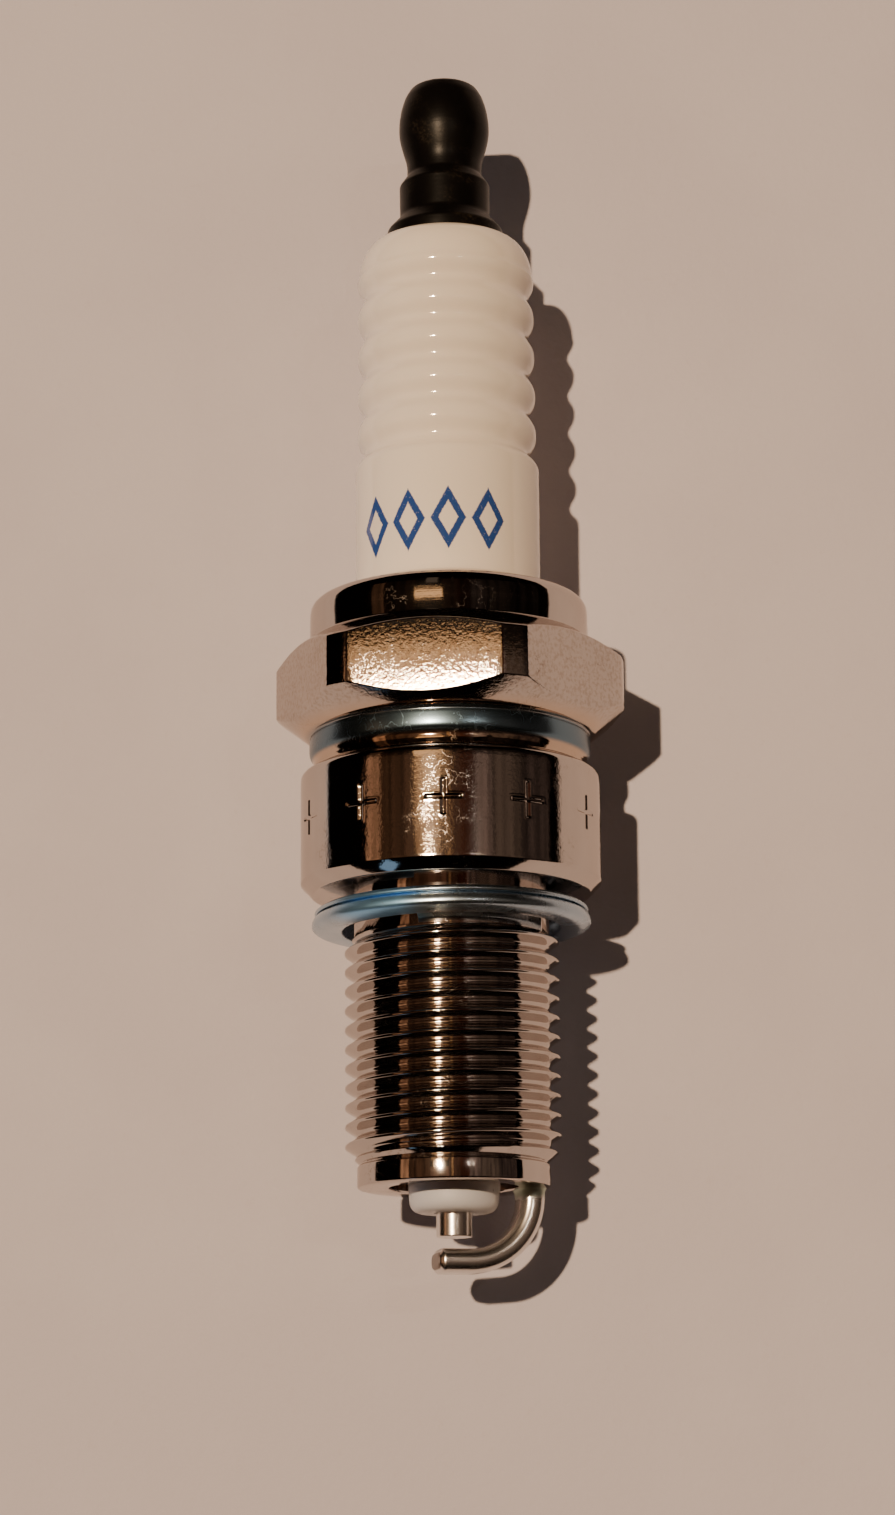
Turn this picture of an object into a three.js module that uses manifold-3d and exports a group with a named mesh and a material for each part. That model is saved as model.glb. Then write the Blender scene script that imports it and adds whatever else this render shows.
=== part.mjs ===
// Spark plug with an M14 x 1.25 thread, in millimetres, standing with its terminal up.
// The origin is on the axis, level with the underside of the crush gasket.
import * as THREE from "three";
import { mergeVertices } from "three/addons/utils/BufferGeometryUtils.js";
import Module from "manifold-3d";

// Metal shell
const threadPitch = 1.25;
const threadCrestR = 6.92;
const threadRootR = 6.25;
const threadTurns = 11;
const threadTopZ = -0.35; // where the first groove starts, below the gasket
const reliefR = 6.3; // plain neck that the gasket hangs on
const seatZ = 2.5; // face that the gasket is pressed against
const reach = 18.9; // seat to shell end
const shellEndZ = seatZ - reach;
const endRingR = 6.17;
const endRingHeight = 1.5;
const seatR = 9.05;
const barrelR = 9.78;
const barrelLowZ = 3.24;
const barrelHighZ = 10.05;
const grooveR = 8.92; // thin neck that is heated and pressed when the plug is closed
const neckRingR = 9.18;
const neckRingLowZ = 11.5;
const neckRingHighZ = 12.95;
const hexHalfFlats = 10.32;
const hexCornerR = 11.47;
const hexLowZ = 13.7; // at the middle of a flat
const hexHighZ = 18.51;
const hexLowSlope = 0.77; // height per radius of the lower chamfer
const hexHighSlope = Math.tan(Math.PI / 6);
const collarR = 9.15;
const collarRound = 0.6;
const collarWallTopZ = 21.45;
const crimpLipR = 6.35;
const crimpTopZ = 22.75;
const mouthBoreR = 4.1; // round the firing nose
const ledgeZ = -4.8;
const middleBoreR = 4.85;
const mainBoreR = 7.6;

// Insulator
const noseR = 2.8;
const noseEndZ = -17.98;
const insulatorTopZ = 47.2;
const shoulderWide = 1.6; // the insulator's top edge is a quarter of an ellipse
const shoulderTall = 2.6;
const shoulderFlatR = 4.25;
const labelR = 6.12; // plain cylinder above the crimp
const labelTopZ = 31.1;
const ribCrestR = 5.92;
const ribGrooveR = 5.52;
const ribGrooves = 5;
const ribPitch = 2.73;
const topGrooveZ = 43.15;
const lowBodyR = 4.7;
const flangeR = 7.45; // widest part, held inside the shell
const electrodeBoreR = 1.25;
const studBoreR = 2.05;
const boreStepZ = 0.8;

// Electrodes
const electrodeR = 1.15;
const electrodeEndZ = -19.5;
const electrodeHeadR = 1.85;
const electrodeHeadTopZ = 2.6;
const coreR = 0.58;
const coreEndZ = -17.7;
const sparkGap = 0.75;
const strapThick = 1.55;
const strapWidth = 2.7;
const strapBaseR = 5.0;
const strapBendR = 4.1; // of the strap's middle line
const strapPastAxis = 1.25;
const strapTurnDeg = 23.7; // turned from +X towards +Y

// Terminal
const nutTopZ = 58.7;
const nutR = 3.05;
const nutFlangeHighZ = 48.15; // a cone joins the flange to the plain band above
const nutSkirtLowZ = 49.1;
const nutSkirtHighZ = 51.4;
const nutWaistR = 2.52;
const nutWaistLowZ = 52.2;
const nutWaistHighZ = 53.2;
const nutFlangeR = 3.9;
const nutBoreR = 2.0;
const studR = 1.75;
const studThreadR = 1.93;
const studTopZ = 55.6;
const sealTopZ = 11.5;

// Gasket and packing
const gasketR = 9.07;
const gasketBoreR = 6.72;
const gasketHeight = 1.78;
const packingWireR = 0.4;
const upperPacking = { radius: 6.85, z: 21.25 };
const lowerPacking = { radius: 7.05, z: 17.45 };
const talcLowZ = 17.95;
const talcHighZ = 20.75;

const fit = 0.05; // gap between pieces that touch
const around = 32; // facets of a turned piece

const wasm = await Module();
wasm.setup();

// Turns a profile of [radius, height] pairs about Z. The profile runs up the outside and down the inside,
// and is closed along the axis or back to its first point.
function turned(profile, segments = around) {
  const points = profile.map(([r, z]) => new THREE.Vector2(r, z));
  const onAxis = profile[0][0] === 0;
  if (!onAxis) points.push(points[0].clone());
  return new THREE.LatheGeometry(points, segments).rotateX(Math.PI / 2);
}

// An arc of [radius, height] pairs about a centre, between two angles in degrees.
function arc(centreR, centreZ, radius, from, to, steps, tall = radius) {
  return Array.from({ length: steps + 1 }, (_, i) => {
    const a = THREE.MathUtils.degToRad(from + ((to - from) * i) / steps);
    return [centreR + radius * Math.cos(a), centreZ + tall * Math.sin(a)];
  });
}

// A closed geometry as a manifold solid, and back.
function toSolid(geometry) {
  const bare = geometry.clone();
  bare.deleteAttribute("normal");
  bare.deleteAttribute("uv");
  const merged = mergeVertices(bare, 1e-4);
  return new wasm.Manifold(
    new wasm.Mesh({
      numProp: 3,
      vertProperties: new Float32Array(merged.attributes.position.array),
      triVerts: new Uint32Array(merged.index.array),
    }),
  );
}

function toGeometry(solid) {
  const mesh = solid.getMesh();
  return new THREE.BufferGeometry()
    .setAttribute("position", new THREE.BufferAttribute(mesh.vertProperties, 3))
    .setIndex(new THREE.BufferAttribute(mesh.triVerts, 1));
}

// Thread flanks as rings one pitch apart, listed from the lowest up.
function threadProfile() {
  const flat = threadPitch / 8;
  const flank = (threadPitch - 2 * flat) / 2;
  const low = threadTopZ - threadTurns * threadPitch;
  return Array.from({ length: threadTurns }, (_, i) => {
    const z = low + i * threadPitch;
    return [
      [threadRootR, z],
      [threadCrestR, z + flank],
      [threadCrestR, z + flank + flat],
      [threadRootR, z + threadPitch - flat],
    ];
  }).flat();
}

function shellGeometry() {
  const ringTopZ = shellEndZ + endRingHeight;
  const body = toSolid(
    turned([
      [0, shellEndZ],
      [endRingR - 0.2, shellEndZ],
      [endRingR, shellEndZ + 0.2],
      [endRingR, ringTopZ],
      ...threadProfile(),
      [reliefR, threadTopZ],
      [reliefR, seatZ],
      [seatR, seatZ],
      [barrelR, barrelLowZ],
      ...arc(barrelR - 0.6, barrelHighZ, 0.6, 0, 90, 4),
      [grooveR, barrelHighZ + 0.6],
      [grooveR, neckRingLowZ],
      [neckRingR, neckRingLowZ + 0.3],
      [neckRingR, neckRingHighZ],
      [collarR, neckRingHighZ + 0.2],
      ...arc(collarR - collarRound, collarWallTopZ, collarRound, 0, 80, 4),
      [crimpLipR + 0.2, crimpTopZ],
      [0, crimpTopZ],
    ]),
  );
  // The hexagon is a prism cut by a turned solid, which leaves the two chamfers.
  const prism = new THREE.CylinderGeometry(1, 1, 12, 6).rotateX(Math.PI / 2);
  const across = hexHalfFlats / Math.cos(Math.PI / 6);
  prism.scale(across, across, 1).rotateZ(Math.PI / 2);
  prism.translate(0, 0, (hexLowZ + hexHighZ) / 2);
  const drop = (r, slope) => (r - hexHalfFlats) * slope;
  const bevel = turned([
    [0, hexLowZ + drop(neckRingR, hexLowSlope)],
    [neckRingR, hexLowZ + drop(neckRingR, hexLowSlope)],
    [hexCornerR, hexLowZ + drop(hexCornerR, hexLowSlope)],
    [hexCornerR, hexHighZ - drop(hexCornerR, hexHighSlope)],
    [collarR, hexHighZ - drop(collarR, hexHighSlope)],
    [0, hexHighZ - drop(collarR, hexHighSlope)],
  ]);
  const bore = toSolid(
    turned([
      [0, shellEndZ - 1],
      [mouthBoreR, shellEndZ - 1],
      [mouthBoreR, ledgeZ],
      [middleBoreR, ledgeZ + 0.45],
      [middleBoreR, 3.2],
      [mainBoreR, 5.2],
      [mainBoreR, 21.1],
      [6.9, 22.0],
      [crimpLipR, 22.2],
      [crimpLipR, crimpTopZ + 1],
      [0, crimpTopZ + 1],
    ]),
  );
  const hex = toSolid(prism).intersect(toSolid(bevel));
  return toGeometry(body.add(hex).subtract(bore));
}

function insulatorGeometry() {
  // Each rib is a shallow wave between two grooves.
  const steps = 4;
  const ribs = [];
  for (let i = ribGrooves * steps; i >= -2; i--) {
    const wave = Math.pow(Math.abs(Math.cos((Math.PI * i) / steps)), 3);
    const z = topGrooveZ - ((i - steps / 2) / steps) * ribPitch + ribPitch / 2;
    ribs.push([ribCrestR - (ribCrestR - ribGrooveR) * wave, z - ribPitch]);
  }
  return turned([
    [electrodeBoreR, noseEndZ],
    [noseR - 0.35, noseEndZ],
    [noseR, noseEndZ + 0.35],
    [3.45, ledgeZ],
    [3.6, ledgeZ + 0.3],
    [lowBodyR, ledgeZ + 0.95],
    [lowBodyR, 3.5],
    [flangeR, 5.5],
    [flangeR, 16.4],
    [labelR, 17.7],
    [labelR, labelTopZ - 0.3],
    [labelR - 0.3, labelTopZ],
    ...ribs.filter(([, z]) => z > labelTopZ + 0.3),
    ...arc(shoulderFlatR, insulatorTopZ - shoulderTall, shoulderWide, 0, 90, 6, shoulderTall),
    [studBoreR, insulatorTopZ],
    [studBoreR, boreStepZ + 0.8],
    [electrodeBoreR, boreStepZ],
  ]);
}

function nutGeometry() {
  const bottom = insulatorTopZ + fit;
  return turned([
    [nutBoreR, bottom],
    [nutFlangeR, bottom],
    [nutFlangeR, nutFlangeHighZ],
    [nutR, nutSkirtLowZ],
    [nutR, nutSkirtHighZ],
    [nutWaistR, nutWaistLowZ],
    [nutWaistR, nutWaistHighZ],
    [2.85, 54.2],
    [nutR, 55.2],
    [3.03, 56.1],
    [2.88, 57.0],
    [2.58, 57.85],
    [2.1, 58.4],
    [1.5, nutTopZ],
    [0, nutTopZ],
    [0, studTopZ + 0.9],
    [nutBoreR, studTopZ + 0.3],
  ], 28);
}

function studGeometry() {
  return turned([
    [0, 8.8],
    [1.3, 9.1],
    [1.3, sealTopZ + 0.3],
    [studR, sealTopZ + 0.7],
    [studR, 45.4],
    [studThreadR, 45.6],
    [studThreadR, studTopZ - 0.3],
    [studThreadR - 0.3, studTopZ],
    [0, studTopZ],
  ], 16);
}

function sealGeometry() {
  const sealR = studBoreR - fit;
  return turned([
    [0, electrodeHeadTopZ + 0.4],
    [sealR, electrodeHeadTopZ + 0.4],
    [sealR, sealTopZ],
    [1.38, sealTopZ],
    [1.38, 9.0],
    [0, 8.7],
  ], 16);
}

function electrodeGeometry() {
  return turned([
    [0, electrodeEndZ],
    [electrodeR - 0.08, electrodeEndZ],
    [electrodeR, electrodeEndZ + 0.08],
    [electrodeR, boreStepZ + 0.2],
    [electrodeHeadR, boreStepZ + 0.95],
    [electrodeHeadR, electrodeHeadTopZ],
    [coreR + 0.04, electrodeHeadTopZ],
    [coreR + 0.04, coreEndZ - fit],
    [0, coreEndZ - fit],
  ], 24);
}

function coreGeometry() {
  return turned([
    [0, coreEndZ],
    [coreR, coreEndZ],
    [coreR, electrodeHeadTopZ + 0.2],
    [0, electrodeHeadTopZ + 0.2],
  ], 12);
}

// The crush gasket is a folded ring: a round lower roll with a thinner lip on top.
function gasketGeometry() {
  return turned([
    [gasketBoreR + 0.5, 0],
    [gasketR - 0.55, 0],
    [gasketR - 0.12, 0.2],
    [gasketR, 0.6],
    [gasketR - 0.12, 1.0],
    [gasketR - 0.3, 1.15],
    [gasketR - 0.1, 1.3],
    [gasketR - 0.1, 1.62],
    [gasketR - 0.35, gasketHeight],
    [gasketBoreR + 0.5, gasketHeight],
    [gasketBoreR, 1.4],
    [gasketBoreR, 0.4],
  ]);
}

// The ground strap is a J outline in its own plane, drawn along X and Z, given its width along Y.
function strapGeometry() {
  const half = strapThick / 2;
  const outerR = strapBendR + half;
  const innerR = strapBendR - half;
  const midZ = electrodeEndZ - sparkGap - half;
  const bendX = strapBaseR - strapBendR;
  const bendZ = midZ + strapBendR;
  const topZ = shellEndZ - fit;
  const edge = 0.22; // rounding of the four long edges
  const outline = new THREE.Shape();
  outline.moveTo(strapBaseR + half - edge, topZ);
  outline.lineTo(strapBaseR - half + edge, topZ);
  outline.lineTo(strapBaseR - half + edge, bendZ);
  outline.absarc(bendX, bendZ, innerR + edge, 0, -Math.PI / 2, true);
  outline.lineTo(-strapPastAxis, bendZ - innerR - edge);
  outline.lineTo(-strapPastAxis, bendZ - outerR + edge);
  outline.lineTo(bendX, bendZ - outerR + edge);
  outline.absarc(bendX, bendZ, outerR - edge, -Math.PI / 2, 0, false);
  outline.closePath();
  const solid = new THREE.ExtrudeGeometry(outline, {
    depth: strapWidth - 2 * edge,
    curveSegments: 10,
    bevelEnabled: true,
    bevelThickness: edge,
    bevelSize: edge,
    bevelSegments: 2,
  });
  // The bevel grows the outline, so the base is trimmed level with the shell's end.
  solid.rotateX(Math.PI / 2).translate(0, strapWidth / 2 - edge, 0);
  const trim = new THREE.BoxGeometry(20, 20, 20).translate(0, 0, topZ - 10);
  return toGeometry(toSolid(solid).intersect(toSolid(trim)));
}

function wireRing({ radius, z }) {
  return turned(arc(radius, z, packingWireR, 0, 360, 8).slice(0, -1));
}

function finish(color, roughness, metalness) {
  return new THREE.MeshStandardMaterial({ color, roughness, metalness });
}

const nickel = finish(0xcfc8c0, 0.18, 1);
const zinc = finish(0xb4bcc4, 0.32, 1);
const blackOxide = finish(0x15130f, 0.38, 0.7);
const glaze = finish(0xf3efe8, 0.12, 0);
const steel = finish(0x9a9895, 0.4, 1);
const copper = finish(0xb87346, 0.35, 1);
const talc = finish(0xddd8cc, 0.95, 0);
const sealGlass = finish(0x3b3a3c, 0.5, 0.2);

const plug = new THREE.Group();

function place(name, geometry, material) {
  const piece = new THREE.Mesh(geometry, material);
  piece.name = name;
  plug.add(piece);
  return piece;
}

place("metal_shell", shellGeometry(), nickel);
place("insulator", insulatorGeometry(), glaze);
place("terminal_nut", nutGeometry(), blackOxide);
place("terminal_stud", studGeometry(), steel);
place("glass_seal", sealGeometry(), sealGlass);
place("center_electrode", electrodeGeometry(), nickel);
place("copper_core", coreGeometry(), copper);
place("gasket", gasketGeometry(), zinc);
place("upper_packing_ring", wireRing(upperPacking), steel);
place("lower_packing_ring", wireRing(lowerPacking), steel);
place(
  "talc_ring",
  turned([
    [labelR + 0.08, talcLowZ],
    [mainBoreR - 0.1, talcLowZ],
    [mainBoreR - 0.1, talcHighZ],
    [labelR + 0.08, talcHighZ],
  ]),
  talc,
);
// A thin cone of soft steel between the insulator's step and the shell's ledge.
place(
  "inner_seat_washer",
  turned([
    [mouthBoreR + 0.02, ledgeZ + 0.08],
    [middleBoreR - 0.1, ledgeZ + 0.48],
    [middleBoreR - 0.1, ledgeZ + 0.78],
    [mouthBoreR + 0.02, ledgeZ + 0.38],
  ]),
  steel,
);
const strap = place("ground_electrode", strapGeometry(), nickel);
strap.rotation.z = THREE.MathUtils.degToRad(strapTurnDeg);

export default plug;
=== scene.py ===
import math
import bmesh
import bpy
import numpy as np
from mathutils import Matrix, Vector


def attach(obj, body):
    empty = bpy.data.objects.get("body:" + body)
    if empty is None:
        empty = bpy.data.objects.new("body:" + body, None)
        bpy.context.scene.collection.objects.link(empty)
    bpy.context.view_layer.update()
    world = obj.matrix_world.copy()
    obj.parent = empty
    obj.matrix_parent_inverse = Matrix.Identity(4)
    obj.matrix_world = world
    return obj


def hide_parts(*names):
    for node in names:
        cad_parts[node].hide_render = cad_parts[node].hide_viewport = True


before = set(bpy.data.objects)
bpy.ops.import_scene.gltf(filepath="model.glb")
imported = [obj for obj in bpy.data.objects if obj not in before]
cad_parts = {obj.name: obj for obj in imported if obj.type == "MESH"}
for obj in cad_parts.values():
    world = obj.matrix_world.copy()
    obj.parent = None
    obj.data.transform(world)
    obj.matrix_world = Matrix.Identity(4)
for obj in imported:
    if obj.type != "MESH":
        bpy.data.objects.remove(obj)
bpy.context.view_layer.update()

mm = 0.001  # every shape below is worked out in millimetres and placed in metres


def cornersOf(points):
    # points is a list of (radius, height, cut), each a number or one value per column
    size = max(np.size(v) for p in points for v in p)
    return np.array([[np.broadcast_to(np.asarray(v, float), (size,)) for v in p] for p in points])


def roundedRows(points, steps=4):
    # follows the corners in straight lines and swaps each corner for a short quadratic curve
    # that starts and ends one cut away from it: B(t) = (1-t)^2 A + 2t(1-t) P + t^2 C
    p = cornersOf(points)
    rows = [p[0, :2]]
    t = np.linspace(0, 1, steps + 1)[:, None, None]
    for i in range(1, len(p) - 1):
        here, cut = p[i, :2], p[i, 2]
        before, after = p[i - 1, :2] - here, p[i + 1, :2] - here
        lenBefore = np.hypot(*before) + 1e-9
        lenAfter = np.hypot(*after) + 1e-9
        a = here + before / lenBefore * np.minimum(cut, 0.49 * lenBefore)
        c = here + after / lenAfter * np.minimum(cut, 0.49 * lenAfter)
        if np.max(cut) <= 0:
            rows.append(here)
        else:
            rows.extend((1 - t) ** 2 * a + 2 * t * (1 - t) * here + t ** 2 * c)
    rows.append(p[-1, :2])
    return np.array(rows)  # rows, (radius, height), columns


def turnedPoints(rows, angles):
    # x = r cos a, y = r sin a, z = height, for every row and every angle at once
    r = np.broadcast_to(rows[:, 0], (len(rows), len(angles)))
    z = np.broadcast_to(rows[:, 1], (len(rows), len(angles)))
    return np.stack([r * np.cos(angles), r * np.sin(angles), z], -1)


def evenAngles(columns):
    return np.arange(columns) * 2 * math.pi / columns


def gridFaces(rows, columns, start=0, lift=0):
    # quads of a grid that closes round its columns; lift joins the last column to rows further on
    i, j = np.meshgrid(np.arange(rows - 1), np.arange(columns), indexing="ij")
    wrap = (j + 1) // columns
    nextRow = i + wrap * lift
    keep = nextRow + 1 < rows
    a, b = i * columns + j, (i + 1) * columns + j
    c, d = (nextRow + 1) * columns + (j + 1) % columns, nextRow * columns + (j + 1) % columns
    return (np.stack([a, d, c, b], -1)[keep] + start).tolist()


def bridgeFaces(coarse, fine, coarseColumns, fineColumns):
    # one flat face from each edge of a coarse ring to the finer edges opposite it
    k = fineColumns // coarseColumns
    return [
        [coarse + i, coarse + (i + 1) % coarseColumns]
        + [fine + (i * k + s) % fineColumns for s in range(k, -1, -1)]
        for i in range(coarseColumns)
    ]


def pieceFrom(name, points, faces, material, smoothAngle):
    # welds the seams, turns the faces outwards and keeps edges sharper than smoothAngle crisp
    mesh = bpy.data.meshes.new(name)
    mesh.from_pydata((np.asarray(points).reshape(-1, 3) * mm).tolist(), [], faces)
    work = bmesh.new()
    work.from_mesh(mesh)
    bmesh.ops.remove_doubles(work, verts=work.verts, dist=2e-7)
    bmesh.ops.dissolve_degenerate(work, edges=work.edges, dist=1e-7)
    bmesh.ops.recalc_face_normals(work, faces=work.faces)
    work.to_mesh(mesh)
    work.free()
    mesh.polygons.foreach_set("use_smooth", np.ones(len(mesh.polygons), dtype=bool))
    mesh.set_sharp_from_angle(angle=math.radians(smoothAngle))
    piece = bpy.data.objects.new(name, mesh)
    bpy.context.scene.collection.objects.link(piece)
    mesh.materials.append(material)
    return piece


def smoothStep(low, high, x):
    # 0 below low, 1 above high and 3t^2 - 2t^3 between them
    t = np.clip((x - low) / (high - low), 0, 1)
    return t * t * (3 - 2 * t)


def newGroup(name, inputs, outputs):
    group = bpy.data.node_groups.new(name, "ShaderNodeTree")
    for label, kind, value in inputs:
        socket = group.interface.new_socket(name=label, in_out="INPUT", socket_type=kind)
        if value is not None:
            socket.default_value = value
    for label, kind in outputs:
        group.interface.new_socket(name=label, in_out="OUTPUT", socket_type=kind)
    start = group.nodes.new("NodeGroupInput")
    end = group.nodes.new("NodeGroupOutput")
    return group, start, end


def setSocket(tree, socket, value):
    # a number or a colour is written on the socket, and another node's output is linked to it
    if isinstance(value, (int, float)):
        socket.default_value = value
    elif isinstance(value, tuple):
        socket.default_value = (*value, 1.0)
    else:
        tree.links.new(value, socket)


def mathNode(tree, operation, first, second=None, third=None, clamp=False):
    node = tree.nodes.new("ShaderNodeMath")
    node.operation = operation
    node.use_clamp = clamp
    for socket, value in zip(node.inputs, (first, second, third)):
        if value is not None:
            setSocket(tree, socket, value)
    return node.outputs[0]


def times(tree, first, second):
    return mathNode(tree, "MULTIPLY", first, second)


def noiseNode(tree, vector, scale, detail=3.0, roughness=0.5):
    node = tree.nodes.new("ShaderNodeTexNoise")
    node.inputs["Detail"].default_value = detail
    node.inputs["Roughness"].default_value = roughness
    tree.links.new(vector, node.inputs["Vector"])
    setSocket(tree, node.inputs["Scale"], scale)
    return node.outputs["Fac"]


def mapRange(tree, value, low, high, toLow=0.0, toHigh=1.0):
    # eases from toLow, where the value is low, to toHigh, where it is high
    node = tree.nodes.new("ShaderNodeMapRange")
    node.interpolation_type = "SMOOTHSTEP"
    for label, v in (("From Min", low), ("From Max", high), ("To Min", toLow), ("To Max", toHigh)):
        node.inputs[label].default_value = v
    tree.links.new(value, node.inputs["Value"])
    return node.outputs["Result"]


def band(tree, value, low, lowFull, highFull, high):
    # rises from 0 at low to 1 at lowFull, and falls again from highFull to high
    return times(tree, mapRange(tree, value, low, lowFull), mapRange(tree, value, high, highFull))


def mixColor(tree, factor, first, second):
    node = tree.nodes.new("ShaderNodeMix")
    node.data_type = "RGBA"
    for label, v in (("Factor", factor), ("A", first), ("B", second)):
        setSocket(tree, [socket for socket in node.inputs if socket.name == label and socket.enabled][0], v)
    return [socket for socket in node.outputs if socket.enabled][0]


def objectPoint(tree):
    return tree.nodes.new("ShaderNodeTexCoord").outputs["Object"]


def axesOf(tree, point):
    split = tree.nodes.new("ShaderNodeSeparateXYZ")
    tree.links.new(point, split.inputs[0])
    return split.outputs["X"], split.outputs["Y"], split.outputs["Z"]


def heightNode(tree, point):
    # in millimetres above the seat, as the shapes are
    return times(tree, axesOf(tree, point)[2], 1000)


def azimuthNode(tree, point):
    # the turn round the axis: 0 in front, along -Y, and positive towards +X
    x, y, _ = axesOf(tree, point)
    return mathNode(tree, "ARCTAN2", x, times(tree, y, -1))


def groupNode(tree, group, **values):
    node = tree.nodes.new("ShaderNodeGroup")
    node.node_tree = group
    for label, v in values.items():
        setSocket(tree, node.inputs[label], v)
    return node


def newMaterial(name):
    material = bpy.data.materials.new(name)
    material.use_nodes = True
    tree = material.node_tree
    shader = tree.nodes["Principled BSDF"]
    return material, tree, shader


def makePlatingGrain():
    # fine pits and bumps of plated steel: two sizes of noise raised along the surface
    group, start, end = newGroup(
        "platingGrain",
        [("Point", "NodeSocketVector", None), ("Size", "NodeSocketFloat", 3000.0),
         ("Height", "NodeSocketFloat", 0.00001), ("Amount", "NodeSocketFloat", 1.0)],
        [("Normal", "NodeSocketVector"), ("Mask", "NodeSocketFloat")],
    )
    point = start.outputs["Point"]
    coarse = noiseNode(group, point, start.outputs["Size"], 2.0, 0.5)
    fine = noiseNode(group, point, times(group, start.outputs["Size"], 3.1), 2.0, 0.6)
    height = mathNode(group, "MULTIPLY_ADD", fine, 0.35, coarse)
    bump = group.nodes.new("ShaderNodeBump")
    group.links.new(height, bump.inputs["Height"])
    group.links.new(start.outputs["Height"], bump.inputs["Distance"])
    group.links.new(start.outputs["Amount"], bump.inputs["Strength"])
    group.links.new(bump.outputs["Normal"], end.inputs["Normal"])
    group.links.new(mapRange(group, coarse, 0.42, 0.68), end.inputs["Mask"])
    return group


def makeTurningLines():
    # rings left by the lathe tool: noise that changes fast along the axis and slowly round it
    group, start, end = newGroup(
        "turningLines",
        [("Point", "NodeSocketVector", None), ("Rings", "NodeSocketFloat", 9000.0),
         ("Height", "NodeSocketFloat", 0.000004), ("Normal", "NodeSocketVector", None)],
        [("Normal", "NodeSocketVector")],
    )
    x, y, z = axesOf(group, start.outputs["Point"])
    angle = mathNode(group, "ARCTAN2", y, x)
    join = group.nodes.new("ShaderNodeCombineXYZ")
    group.links.new(times(group, z, start.outputs["Rings"]), join.inputs["X"])
    group.links.new(mathNode(group, "COSINE", angle), join.inputs["Y"])
    group.links.new(mathNode(group, "SINE", angle), join.inputs["Z"])
    lines = noiseNode(group, join.outputs[0], 1.0, 2.0, 0.5)
    bump = group.nodes.new("ShaderNodeBump")
    group.links.new(lines, bump.inputs["Height"])
    group.links.new(start.outputs["Height"], bump.inputs["Distance"])
    group.links.new(start.outputs["Normal"], bump.inputs["Normal"])
    group.links.new(bump.outputs["Normal"], end.inputs["Normal"])
    return group


def makeSmudges():
    # broad cloudy patches with thin wandering veins, as handled metal or glaze shows
    group, start, end = newGroup(
        "smudges",
        [("Point", "NodeSocketVector", None), ("Size", "NodeSocketFloat", 300.0)],
        [("Clouds", "NodeSocketFloat"), ("Veins", "NodeSocketFloat")],
    )
    point = start.outputs["Point"]
    clouds = noiseNode(group, point, start.outputs["Size"], 4.0, 0.55)
    warp = noiseNode(group, point, times(group, start.outputs["Size"], 2.3), 3.0, 0.6)
    away = mathNode(group, "ABSOLUTE", mathNode(group, "SUBTRACT", warp, 0.5))
    veins = mapRange(group, away, 0.0, 0.012, 1.0, 0.0)
    patchy = mapRange(group, clouds, 0.5, 0.62)
    group.links.new(clouds, end.inputs["Clouds"])
    group.links.new(times(group, veins, patchy), end.inputs["Veins"])
    return group


def makeSpecks():
    # a few tiny dark grains scattered in cells
    group, start, end = newGroup(
        "specks",
        [("Point", "NodeSocketVector", None), ("Size", "NodeSocketFloat", 400.0),
         ("Radius", "NodeSocketFloat", 0.05)],
        [("Mask", "NodeSocketFloat")],
    )
    cells = group.nodes.new("ShaderNodeTexVoronoi")
    group.links.new(start.outputs["Point"], cells.inputs["Vector"])
    group.links.new(start.outputs["Size"], cells.inputs["Scale"])
    dot = mathNode(group, "LESS_THAN", cells.outputs["Distance"], start.outputs["Radius"])
    rare = mathNode(group, "GREATER_THAN", axesOf(group, cells.outputs["Color"])[0], 0.8)
    group.links.new(times(group, dot, rare), end.inputs["Mask"])
    return group


platingGrain = makePlatingGrain()
turningLines = makeTurningLines()
smudges = makeSmudges()
specks = makeSpecks()
print("surface effects ready")


def turnedFinish(tree, shader, point, grainSize, grainHeight, amount, ringCount, ringHeight):
    # plating grain with the tool's rings over it; hands back the grain, for its mask
    grain = groupNode(tree, platingGrain, Point=point, Size=grainSize, Height=grainHeight, Amount=amount)
    rings = groupNode(tree, turningLines, Point=point, Rings=ringCount, Height=ringHeight,
                      Normal=grain.outputs["Normal"])
    tree.links.new(rings.outputs["Normal"], shader.inputs["Normal"])
    return grain


shell = {
    "pitch": 1.25, "crestR": 6.92, "rootR": 6.25, "crestFlat": 0.12, "flank": 1.62, "rowsPerTurn": 22,
    "low": -14.9, "top": -0.3, "crestAt": -0.96, "crestAngle": 14.7, "lowR": 6.01, "topR": 6.3,
    "seatZ": 2.5, "seatR": 9.05, "endZ": -16.4, "endR": 6.17, "ringTop": -14.95,
    "mouthR": 4.1, "ledgeZ": -4.8, "middleR": 4.85, "mainR": 7.6,
    "boreHigh": 21.1, "ledgeEnd": 3.2, "flangeSeatZ": 5.2,
    "barrelR": 9.78, "barrelLow": 3.24, "barrelHigh": 10.35, "bandLow": 0.2, "bandHigh": 0.7,
    "grooveR": 8.92, "neckR": 9.18, "neckLow": 11.5, "neckHigh": 13.0,
    "hexR": 10.32, "cornerR": 11.47, "hexLow": 13.7, "hexHigh": 18.51, "hexFootR": 9.45,
    "hexLowSlope": 0.77, "hexHighSlope": 0.577, "collarR": 9.15,
    "lipR": 6.35, "crimpTop": 22.75, "crimpEdge": 21.87,
    "marks": 11, "markAngle": 6.0, "markZ": 7.05, "markArm": 1.15, "markStroke": 0.12,
    "markDepth": 0.11, "markRim": 0.015, "markMargin": 0.3,
    "nickel": (0.61, 0.565, 0.54), "nickelDull": (0.51, 0.47, 0.45), "stain": (0.30, 0.24, 0.20),
    "pitBrown": (0.24, 0.14, 0.07), "temperStraw": (0.62, 0.42, 0.26), "temperBlue": (0.10, 0.20, 0.29),
}


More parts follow.
